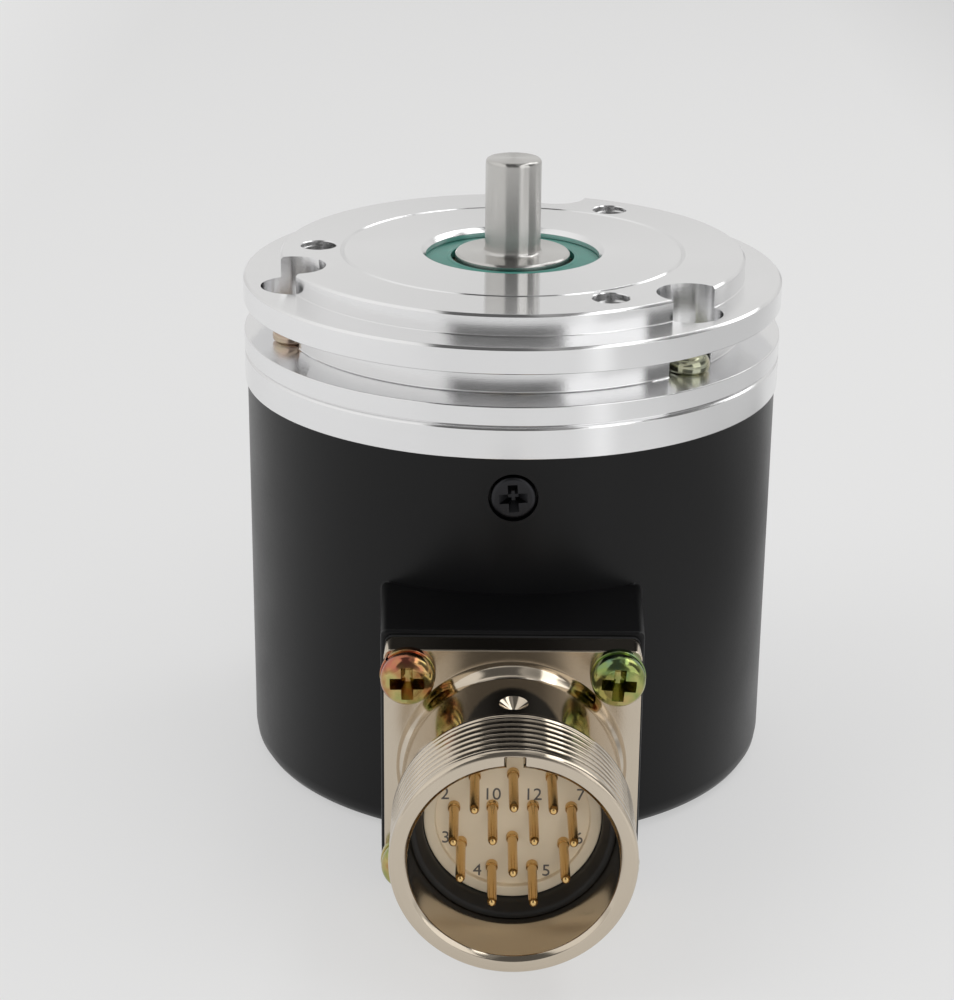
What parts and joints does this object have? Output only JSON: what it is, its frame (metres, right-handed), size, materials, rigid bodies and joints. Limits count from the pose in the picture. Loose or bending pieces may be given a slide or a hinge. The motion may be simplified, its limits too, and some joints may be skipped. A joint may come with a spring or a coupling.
{
  "type": "incremental rotary encoder",
  "caption": "Round incremental rotary encoder with a synchro clamping flange, a plain solid shaft, a black cup cover and a radial round threaded pin connector.",
  "frame": {"origin": "centre of the threaded hole circle on the front face of the centring collar, on the shaft axis", "axes": "+Z out along the shaft, -Y along the axis of the connector away from the shaft, +X completes the right-handed frame"},
  "size_m": [0.058, 0.0894, 0.0667],
  "materials": {
    "turned_aluminium": "fine turned, satin",
    "black_paint": "satin powder coat on die-cast aluminium",
    "black_rubber": "moulded rubber",
    "yellow_zinc": "steel with yellow chromate zinc plating",
    "black_steel": "black oxide",
    "stainless": "ground",
    "bearing_steel": "polished",
    "green_seal": "moulded seal",
    "cage_polymer": "moulded polyamide",
    "spring_steel": "phosphated spring steel",
    "hub_brass": "turned",
    "code_glass": "coated glass with fine chrome lines",
    "black_polymer": "moulded",
    "lamp_resin": "clear resin",
    "chip_resin": "moulded package",
    "board_laminate": "solder mask on laminate",
    "can_aluminium": "drawn can",
    "cream_polymer": "moulded",
    "ribbon_film": "flat film",
    "nickel_plate": "nickel plated, turned",
    "gold_plate": "gold plated"
  },
  "bodies": {
    "housing": {"flange": "turned_aluminium", "base_ring": "turned_aluminium", "cover": "black_paint", "cover_seal": "black_rubber", "flange_screws": "yellow_zinc", "cover_screws": "black_steel", "front_bearing_outer_ring": "bearing_steel", "front_bearing_seals": "green_seal", "rear_bearing_outer_ring": "bearing_steel", "rear_bearing_seals": "green_seal", "outer_ring_spacer": "turned_aluminium", "preload_spring": "spring_steel", "bearing_retaining_ring": "spring_steel", "lamp_holder": "black_polymer", "lamp": "lamp_resin", "reticle": "code_glass", "reticle_holder": "black_polymer", "light_sensor": "chip_resin", "main_board": "board_laminate", "board_standoffs": "hub_brass", "board_screws": "yellow_zinc", "counter_chip": "chip_resin", "line_driver_chip": "chip_resin", "board_capacitors": "can_aluminium", "board_header": "cream_polymer", "ribbon": "ribbon_film", "connector_gasket": "black_rubber", "connector_shell": "nickel_plate", "connector_screws": "yellow_zinc", "connector_washers": "yellow_zinc", "contact_pins": "gold_plate", "connector_insert": "cream_polymer", "insert_sleeve": "black_rubber", "insert_keeper": "black_polymer", "connector_board": "board_laminate", "connector_header": "cream_polymer"},
    "rotor": {"shaft": "stainless", "front_bearing_inner_ring": "bearing_steel", "rear_bearing_inner_ring": "bearing_steel", "inner_ring_spacer": "stainless", "shaft_retaining_ring": "spring_steel", "disc_hub": "hub_brass", "code_disc": "code_glass", "disc_clamp_ring": "hub_brass", "hub_set_screw": "black_steel"},
    "front_cage": {"front_bearing_cage": "cage_polymer", "front_bearing_balls": "bearing_steel"},
    "rear_cage": {"rear_bearing_cage": "cage_polymer", "rear_bearing_balls": "bearing_steel"}
  },
  "joints": [
    {"name": "shaft_spin", "type": "hinge", "parent": "housing", "child": "rotor", "pos_m": [0, 0, 0], "axis": [0, 0, 1], "continuous": true},
    {"name": "front_cage_spin", "type": "hinge", "parent": "housing", "child": "front_cage", "pos_m": [0, 0, 0], "axis": [0, 0, 1], "continuous": true},
    {"name": "rear_cage_spin", "type": "hinge", "parent": "housing", "child": "rear_cage", "pos_m": [0, 0, 0], "axis": [0, 0, 1], "continuous": true}
  ],
  "couplings": [
    {"joint": "front_cage_spin", "follows": "shaft_spin", "ratio": 0.36793},
    {"joint": "rear_cage_spin", "follows": "shaft_spin", "ratio": 0.36793}
  ]
}
